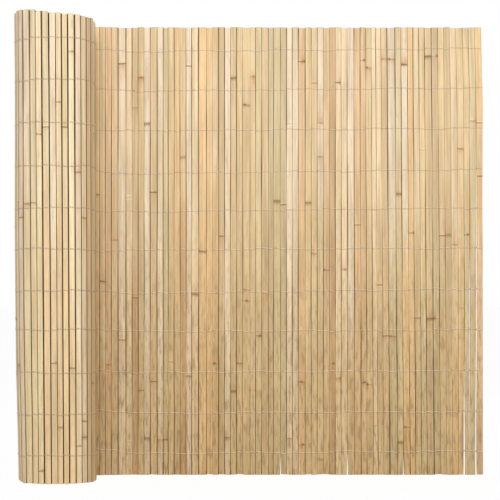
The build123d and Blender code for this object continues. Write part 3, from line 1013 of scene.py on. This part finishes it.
class ScreenColours(bpy.types.PropertyGroup):
    """Colours of the dressed pieces that a user would change."""

    cream: colour_property("Cream", "Pale slats", paint(234, 211, 168))
    straw: colour_property("Straw", "Commonest slats", paint(225, 200, 152))
    honey: colour_property("Honey", "Golden slats", paint(230, 198, 146))
    peach: colour_property("Peach", "Pinkish orange slats", paint(222, 190, 144))
    khaki: colour_property("Khaki", "Duller slats", paint(216, 191, 146))
    green: colour_property("Green", "Slats with some green left", paint(216, 197, 152))
    bleached: colour_property("Bleached", "Sun-bleached slats", paint(231, 212, 178))
    brown: colour_property("Brown", "The darkest slats", paint(208, 174, 128))
    beige: colour_property("Beige", "Pinkish grey slats", paint(222, 198, 168))
    olive: colour_property("Olive", "Dull greenish slats", paint(204, 186, 144))
    chalk: colour_property("Chalk", "Nearly white patches", paint(244, 234, 210))
    pith: colour_property("Pith", "The inside of the bamboo", paint(240, 225, 194))
    pith_share: share_property("Pith share", "Share of the inside's own colour in it", 0.32)
    # Partly painted light: these casts leave the foot darker and the top paler and bluer, and partly the
    # slats' own tone.
    foot_cast: colour_property("Foot cast", "Multiplies a tone at the foot", (0.88, 0.838, 0.785))
    roll_foot_cast: colour_property("Roll foot", "The same on the roll", (1.0, 0.97, 0.88))
    top_cast_and_light: colour_property("Top cast", "Multiplies a tone at the top", (1.08, 1.09, 1.2))
    weathered_grey: colour_property("Weathering", "Grey patches", paint(196, 180, 148))
    damp_brown: colour_property("Damp", "Marks towards the foot", paint(158, 128, 88))
    # Dirt and painted shade along the seams of the panel and the lead-off.
    seam_dirt_and_shade: colour_property("Seam dirt", "Dirt along the edges", paint(72, 46, 20))
    # Painted shade: a near-black brown that stands in for the shade in the gaps between the rolled
    # slats.
    gap_shade_brown: colour_property("Gap", "Between the rolled slats", paint(44, 27, 12))
    # Painted shadow under each wire.
    wire_painted_shadow: share_property("Wire mark", "Dark line that the wire leaves", 0.45)
    # Painted shade that darkens the pith faces of the roll's inner turns.
    inner_painted_shade: colour_property("Inner turns", "Multiplies tones inside", (0.15, 0.1, 0.06))
    # Also the colour of the painted shadow under each wire.
    joint_and_shadow_brown: colour_property("Joint groove", "Dark line of a joint", paint(116, 74, 38))
    joint_orange: colour_property("Joint stain", "Stain above a joint", paint(196, 140, 84))
    cut_end: colour_property("Sawn end", "Between the fibre ends", paint(226, 204, 160))
    fibre_end: colour_property("Fibre end", "The fibre ends", paint(158, 122, 80))
    wire_bright: colour_property("Bright wire", "Zinc", paint(250, 234, 210))
    wire_dark: colour_property("Dark wire", "Dull zinc", paint(214, 194, 164))
    wire_rust: colour_property("Rust", "Rusty spots on the wire", paint(128, 84, 52))


class SCREEN_OT_panel_slats(bpy.types.Operator):
    """Dress the slats of the flat panel"""

    bl_idname = "screen.panel_slats"
    bl_label = "Panel slats"

    def execute(self, context):
        sizes, colours = context.scene.screen_sizes, context.scene.screen_colours
        finish = bamboo("bamboo_skin", colours, 0.42, colours.seam_dirt_and_shade)
        for slat in panel_slats():
            name = f"slat_{slat.seed:02d}"
            block = slat_block(slat, sizes, colours)
            mesh_piece(f"split_{name}", [block], finish, "panel_slats", name)
        return {"FINISHED"}


class SCREEN_OT_lead_off_slats(bpy.types.Operator):
    """Dress the slats that lead off the panel to the roll"""

    bl_idname = "screen.lead_off_slats"
    bl_label = "Lead-off slats"

    def execute(self, context):
        sizes, colours = context.scene.screen_sizes, context.scene.screen_colours
        finish = bamboo("bamboo_lead", colours, 0.45, colours.seam_dirt_and_shade)
        blocks = [slat_block(slat, sizes, colours) for slat in lead_slats()]
        mesh_piece("lead_run", blocks, finish, "rolled_slats", "lead_off_slats")
        return {"FINISHED"}


class SCREEN_OT_roll(bpy.types.Operator):
    """Dress the roll, its outer turn finely and the turns inside it plainly"""

    bl_idname = "screen.roll"
    bl_label = "Roll"

    def execute(self, context):
        sizes, colours = context.scene.screen_sizes, context.scene.screen_colours
        # The roll's seam colour is painted shade in the gaps between its slats.
        finish = bamboo("bamboo_rolled", colours, 0.5, colours.gap_shade_brown, 0.15)
        slats = roll_slats()
        half = FINE_SLATS // 2
        parts = {
            "roll_back_slats": slats[:half],
            "roll_front_slats": slats[half:FINE_SLATS],
            "roll_inner_turns": slats[FINE_SLATS:],
        }
        for name, group in parts.items():
            coarse = name == "roll_inner_turns"
            blocks = [slat_block(slat, sizes, colours, coarse) for slat in group]
            mesh_piece(name, blocks, finish, "rolled_slats", "roll")
        return {"FINISHED"}


class SCREEN_OT_wires(bpy.types.Operator):
    """Lay the rows of twisted binding wire"""

    bl_idname = "screen.wires"
    bl_label = "Binding wires"

    def execute(self, context):
        sizes, colours = context.scene.screen_sizes, context.scene.screen_colours
        finish = dull_wire("dull_wire", colours)
        slats = panel_slats()[::-1] + lead_slats() + roll_slats()[:FINE_SLATS]
        radius = sizes.wire_diameter / MM / 2
        for row in range(len(STRAY_ON_ROLL)):
            blocks = []
            for line in wire_lines(row, slats, sizes):
                edge = slats[0].start(line[:1, 2])[0, 0]
                blocks.append(tube_block(wire_end(line, edge, sizes), radius))
            mesh_piece(f"wire_row_{row + 1:02d}", blocks, finish, "binding_wire", "binding_wires")
        return {"FINISHED"}


class SCREEN_OT_stage(bpy.types.Operator):
    """Set the floor, the lights, the surroundings and the camera"""

    bl_idname = "screen.stage"
    bl_label = "Stage"

    def execute(self, context):
        scene = context.scene
        set_floor(scene, scene.screen_sizes.floor_size)
        set_lights(scene)
        set_surroundings(scene)
        set_camera(scene)
        scene.view_settings.view_transform = "Standard"
        return {"FINISHED"}


def seen_directly(finish):
    """1 for rays from the camera, or by way of a mirror or glass."""
    path = finish.node("ShaderNodeLightPath")
    rays = (path.outputs[f"Is {kind} Ray"] for kind in ("Camera", "Glossy", "Transmission"))
    camera, glossy, through = (finish.number(ray) for ray in rays)
    return camera.work("MAXIMUM", camera.work("MAXIMUM", camera, glossy), through)


def set_floor(scene, size):
    """A white floor that keeps the screen's shadow."""
    half = size / 2
    mesh = bpy.data.meshes.new("floor")
    corners = [(-half, -half, 0), (half, -half, 0), (half, half, 0), (-half, half, 0)]
    mesh.from_pydata(corners, [], [(0, 1, 2, 3)])
    finish = Finish(bpy.data.materials.new("floor_white"))
    matt = finish.node("ShaderNodeBsdfDiffuse", inputs={"Color": solid((0.9, 0.9, 0.9))})
    bright = finish.node("ShaderNodeEmission", inputs={"Color": solid(WHITE), "Strength": 1.0})
    mesh.materials.append(finish.close(finish.two(seen_directly(finish) * 0.96, matt, bright)))
    floor = bpy.data.objects.new("floor", mesh)
    scene.collection.objects.link(floor)


def add_lamp(scene, name, place, power, size):
    """A soft square lamp turned to look at the middle of the screen."""
    data = bpy.data.lights.new(name, "AREA")
    data.shape, data.size, data.energy = "SQUARE", size, power
    lamp = bpy.data.objects.new(name, data)
    lamp.location = place
    way = np.array((0.0, 0.05, 0.5)) - place
    flat = math.hypot(way[0], way[1])
    lamp.rotation_euler = (math.pi / 2 + math.atan2(way[2], flat), 0, math.atan2(-way[0], way[1]))
    scene.collection.objects.link(lamp)


def set_lights(scene):
    """A big soft key above the camera, and a weaker fill behind on the right."""
    add_lamp(scene, "key", (-0.15, -2.9, 2.1), 58.0, 1.5)
    add_lamp(scene, "back_fill", (1.2, 2.6, 1.6), 26.0, 1.6)


def set_surroundings(scene):
    """White as the camera sees it, and an even lower light on the screen."""
    world = bpy.data.worlds.new("surroundings")
    scene.world = world
    finish = Finish(world)
    low, white = (
        finish.node("ShaderNodeBackground", inputs={"Color": solid(WHITE), "Strength": strength})
        for strength in (0.5, 1.0)
    )
    finish.close(finish.two(seen_directly(finish), low, white), "World")


def set_camera(scene):
    """The photograph's view: level, square to the panel, with the horizon below its middle."""
    data = bpy.data.cameras.new("view")
    data.sensor_width = 36.0
    data.lens = VIEW_FOCAL / VIEW_SIZE * data.sensor_width
    data.shift_y = (HORIZON - VIEW_SIZE / 2) / VIEW_SIZE
    data.clip_end = 50.0
    camera = bpy.data.objects.new("view", data)
    camera.location = np.array((VIEW_ACROSS, CROWN_Y - VIEW_DISTANCE, VIEW_HEIGHT)) * MM
    camera.rotation_euler = (math.pi / 2, 0, 0)
    scene.collection.objects.link(camera)
    scene.camera = camera


class SCREEN_PT_sidebar(bpy.types.Panel):
    """Steps that dress the screen, in their order"""

    bl_idname = "SCREEN_PT_sidebar"
    bl_label = "Bamboo slat screen"
    bl_space_type = "VIEW_3D"
    bl_region_type = "UI"
    bl_category = "Screen"

    def draw(self, context):
        for step in OPERATORS:
            self.layout.operator(step.bl_idname)
        for group in (context.scene.screen_sizes, context.scene.screen_colours):
            box = self.layout.box()
            for name in group.__annotations__:
                box.prop(group, name)


OPERATORS = (
    SCREEN_OT_panel_slats,
    SCREEN_OT_lead_off_slats,
    SCREEN_OT_roll,
    SCREEN_OT_wires,
    SCREEN_OT_stage,
)
CLASSES = (ScreenSizes, ScreenColours, *OPERATORS, SCREEN_PT_sidebar)


def register():
    for kind in CLASSES:
        bpy.utils.register_class(kind)
    bpy.types.Scene.screen_sizes = bpy.props.PointerProperty(type=ScreenSizes)
    bpy.types.Scene.screen_colours = bpy.props.PointerProperty(type=ScreenColours)


def unregister():
    del bpy.types.Scene.screen_colours
    del bpy.types.Scene.screen_sizes
    for kind in reversed(CLASSES):
        bpy.utils.unregister_class(kind)


def main():
    """Builds everything in order."""
    register()
    bpy.ops.screen.panel_slats()
    bpy.ops.screen.lead_off_slats()
    bpy.ops.screen.roll()
    bpy.ops.screen.wires()
    bpy.ops.screen.stage()


if __name__ == "__main__":
    main()
